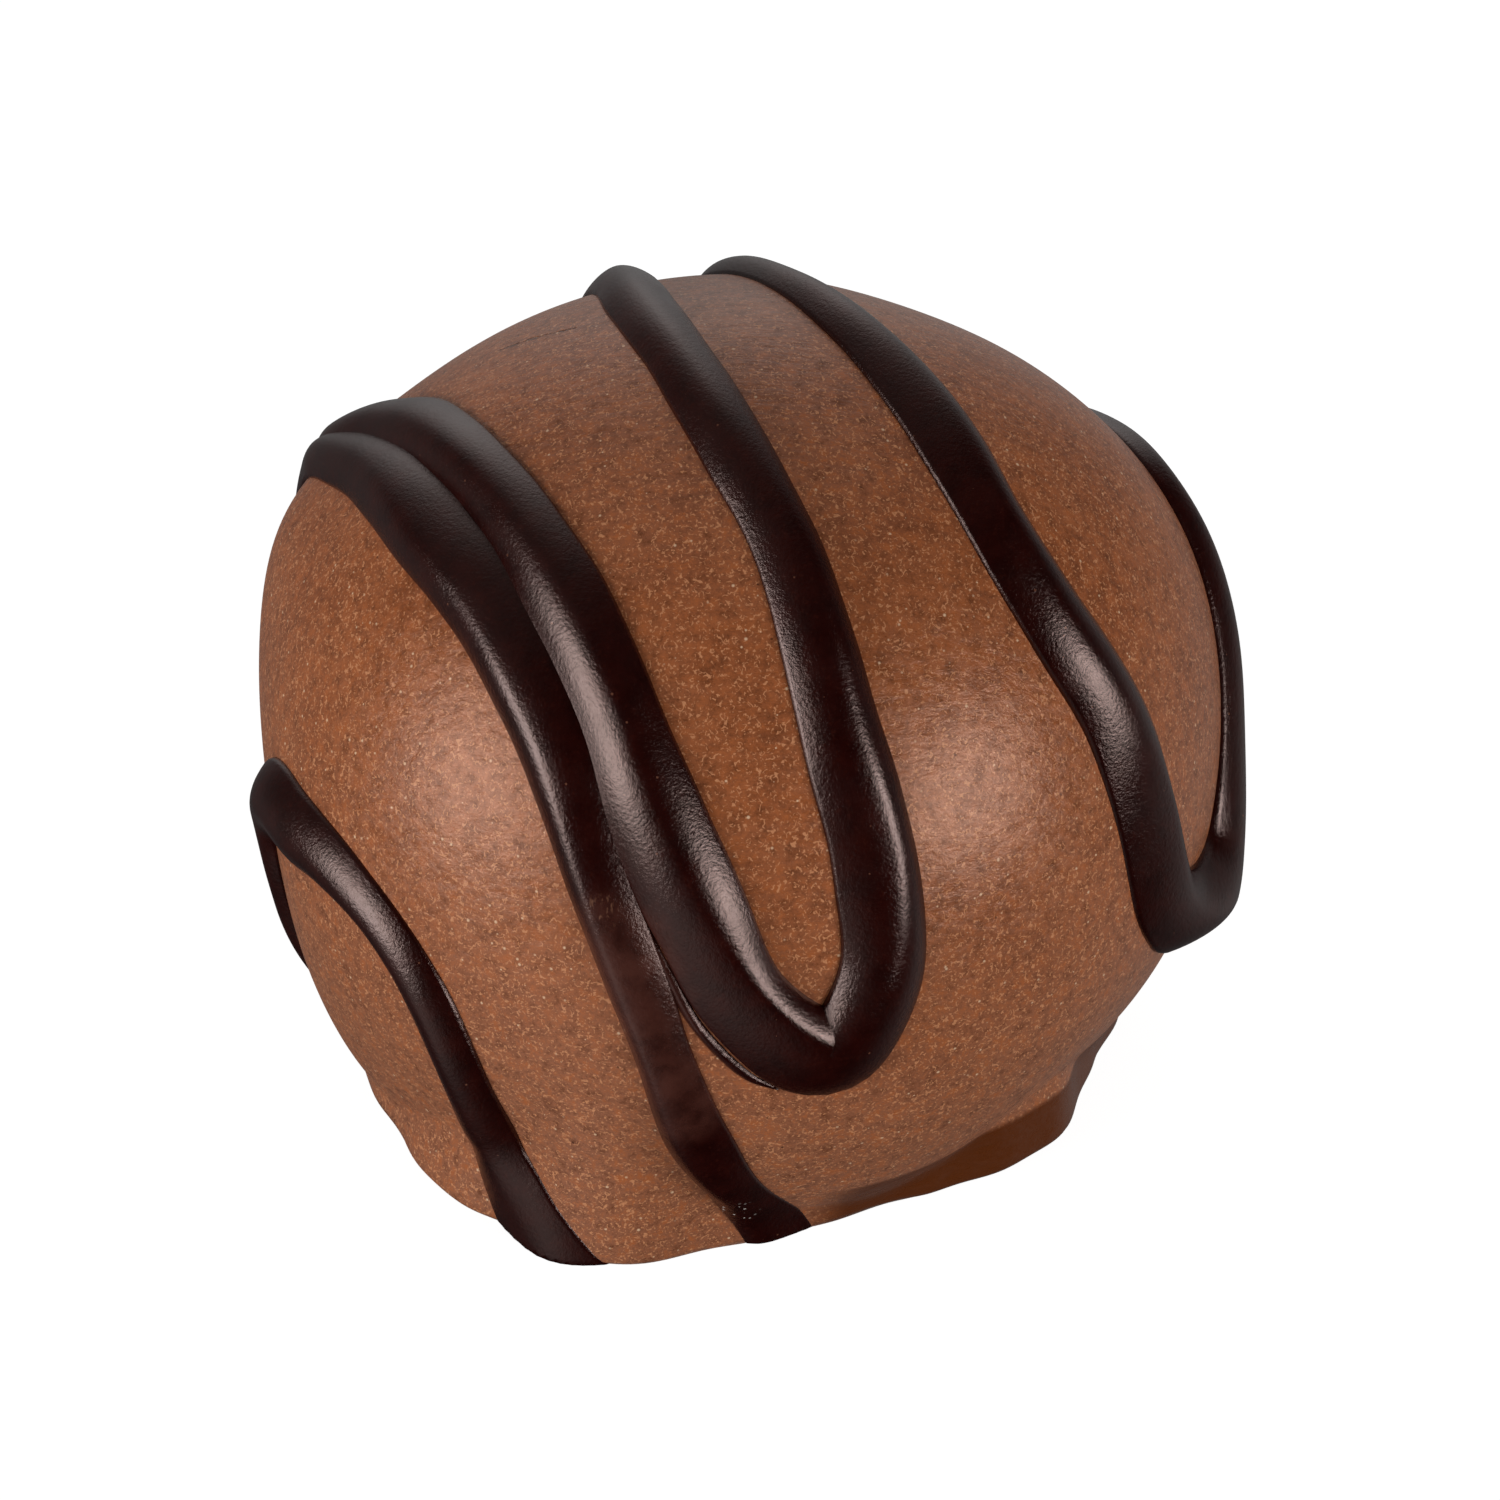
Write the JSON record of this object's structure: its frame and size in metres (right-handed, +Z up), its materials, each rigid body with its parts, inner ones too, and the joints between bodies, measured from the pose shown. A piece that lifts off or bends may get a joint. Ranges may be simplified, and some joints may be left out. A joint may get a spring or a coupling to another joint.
{
  "type": "walnut chocolate",
  "caption": "Round milk chocolate praline with a flat base, a small spread foot and a thick dark chocolate zigzag drizzle set on top.",
  "frame": {"origin": "on the flat base, straight under the centre of the ball", "axes": "+Z up from the base, -Y toward the viewer who sees the two front loops of the drizzle, +X to that viewer's right"},
  "size_m": [0.0308, 0.0309, 0.0246],
  "materials": {
    "milk_chocolate": null
  },
  "bodies": {
    "root": {"chocolate": "milk_chocolate"}
  },
  "joints": []
}
